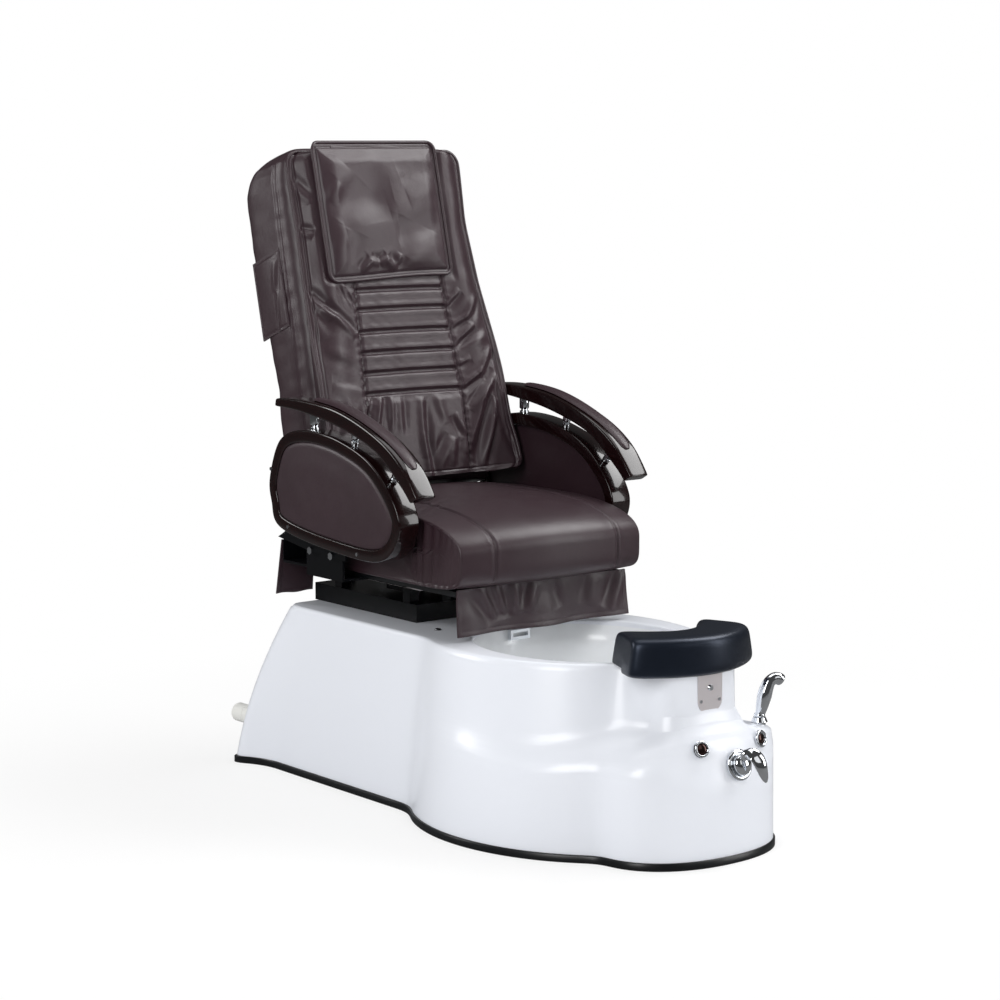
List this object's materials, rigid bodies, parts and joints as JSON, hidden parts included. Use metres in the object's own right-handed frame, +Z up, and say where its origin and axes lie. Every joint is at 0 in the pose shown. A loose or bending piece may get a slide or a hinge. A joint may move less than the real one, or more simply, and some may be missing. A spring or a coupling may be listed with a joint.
{
  "type": "pedicure spa chair",
  "caption": "Upholstered reclining pedicure chair with a massage back, sliding seat and lacquered arms on a glossy moulded base with a foot bath, footrest and tap console.",
  "frame": {"origin": "centre of the underside of the middle levelling foot, on the floor", "axes": "+X to the sitter's left, -Y to the front (the foot bath), +Z up"},
  "size_m": [0.7054, 1.4679, 1.4441],
  "materials": {
    "gel_white": "glossy moulded acrylic shell",
    "basin_grey": "glossy moulded basin",
    "trim_black": "satin black plastic",
    "frame_black": "black powder coat",
    "frame_grey": "grey powder coat",
    "steel": "brushed stainless",
    "chrome": "polished chrome",
    "leather": "satin aubergine-brown upholstery",
    "lacquer": "very dark mahogany high gloss lacquer",
    "pipe_white": "white plastic pipe",
    "rubber": "matt rubber"
  },
  "bodies": {
    "base": {"base_shell": "gel_white", "kick_strip": "trim_black", "basin": "basin_grey", "base_frame": "frame_grey", "levelling_feet": "rubber", "wall_jets": "trim_black", "suction_cover": "trim_black", "waterfall_spout": "chrome", "drain_flange": "steel", "drain_pipe": "pipe_white", "pump_housing": "trim_black", "pump_motor": "frame_black", "jet_pipes": "pipe_white", "control_box": "trim_black", "mains_inlet": "trim_black", "mixer_body": "chrome", "water_hoses": "chrome", "drain_knob_bush": "chrome", "jet_button_bezel": "chrome", "shower_collar": "chrome", "footrest_plate": "steel", "base_fasteners": "chrome", "post_sleeves": "steel", "pedestal": "frame_black", "slide_rails": "steel"},
    "seat": {"slide_runners": "frame_black", "slide_motor": "frame_black", "seat_frame": "frame_black", "seat_board": "trim_black", "seat_cushion": "leather", "front_apron": "leather", "rear_tails": "leather", "side_panels": "lacquer", "panel_inlays": "leather", "arm_bars": "lacquer", "arm_pads": "leather", "arm_posts": "chrome", "arm_brackets": "frame_black", "arm_fasteners": "chrome", "recline_shaft": "steel"},
    "back": {"back_frame": "frame_grey", "back_body": "leather", "side_pocket": "leather", "massage_cover": "leather", "head_pillow": "leather", "massage_rails": "steel"},
    "carriage": {"massage_carriage": "frame_grey"},
    "upper_rollers": {"upper_rollers": "trim_black"},
    "lower_rollers": {"lower_rollers": "trim_black"},
    "actuator": {"recline_actuator": "frame_black"},
    "rod": {"actuator_rod": "steel"},
    "footrest": {"footrest_pad": "trim_black", "footrest_posts": "steel"},
    "mixer_cap": {"mixer_cap": "chrome"},
    "mixer_lever": {"mixer_lever": "chrome"},
    "knob": {"drain_knob": "chrome"},
    "stopper": {"drain_stopper": "chrome"},
    "button": {"jet_button": "trim_black"},
    "shower": {"hand_shower": "chrome"},
    "impeller": {"pump_impeller": "trim_black"}
  },
  "joints": [
    {"name": "seat_slide", "type": "slide", "parent": "base", "child": "seat", "axis": [0, -1, 0], "range_m": [-0.07, 0.03]},
    {"name": "back_recline", "type": "hinge", "parent": "seat", "child": "back", "pos_m": [0, 0.405, 0.5996], "axis": [-1, 0, 0], "range_deg": [0, 35]},
    {"name": "actuator_swing", "type": "hinge", "parent": "seat", "child": "actuator", "pos_m": [0, 0.15, 0.445], "axis": [1, 0, 0], "range_deg": [0, 1.5]},
    {"name": "actuator_extend", "type": "slide", "parent": "actuator", "child": "rod", "axis": [0, 0.995, 0.1], "range_m": [-0.08, 0]},
    {"name": "massage_travel", "type": "slide", "parent": "back", "child": "carriage", "axis": [0, 0.2334, 0.9724], "range_m": [0, 0.4]},
    {"name": "upper_roller_spin", "type": "hinge", "parent": "carriage", "child": "upper_rollers", "pos_m": [0, 0.41226, 0.8736], "axis": [1, 0, 0], "continuous": true},
    {"name": "lower_roller_spin", "type": "hinge", "parent": "carriage", "child": "lower_rollers", "pos_m": [0, 0.38985, 0.78025], "axis": [1, 0, 0], "continuous": true},
    {"name": "footrest_lift", "type": "slide", "parent": "base", "child": "footrest", "axis": [0, 0, 1], "range_m": [0, 0.08]},
    {"name": "mixer_swing", "type": "hinge", "parent": "base", "child": "mixer_cap", "pos_m": [0.02718, -0.72525, 0.196], "axis": [0.0118, -0.9634, 0.2676], "range_deg": [-40, 40]},
    {"name": "mixer_lift", "type": "hinge", "parent": "mixer_cap", "child": "mixer_lever", "pos_m": [0.02748, -0.74962, 0.20277], "axis": [-0.9259, -0.1117, -0.3609], "range_deg": [0, 18]},
    {"name": "drain_turn", "type": "hinge", "parent": "base", "child": "knob", "pos_m": [-0.06364, -0.70968, 0.238], "axis": [-0.1625, -0.9496, 0.2681], "range_deg": [0, 90]},
    {"name": "stopper_lift", "type": "slide", "parent": "base", "child": "stopper", "axis": [0, 0, 1], "range_m": [0, 0.012]},
    {"name": "button_press", "type": "slide", "parent": "base", "child": "button", "axis": [-0.1557, 0.9617, -0.2255], "range_m": [0, 0.003], "stiffness_N_per_m": 400},
    {"name": "shower_pull", "type": "slide", "parent": "base", "child": "shower", "axis": [0, 0, 1], "range_m": [0, 0.2]},
    {"name": "impeller_spin", "type": "hinge", "parent": "base", "child": "impeller", "pos_m": [-0.03, 0.25, 0.118], "axis": [1, 0, 0], "continuous": true}
  ],
  "couplings": [
    {"joint": "actuator_swing", "follows": "back_recline", "ratio": 0.02656},
    {"joint": "actuator_extend", "follows": "back_recline", "m_per_rad": -0.1288},
    {"joint": "drain_turn", "follows": "stopper_lift", "rad_per_m": 130.8}
  ]
}
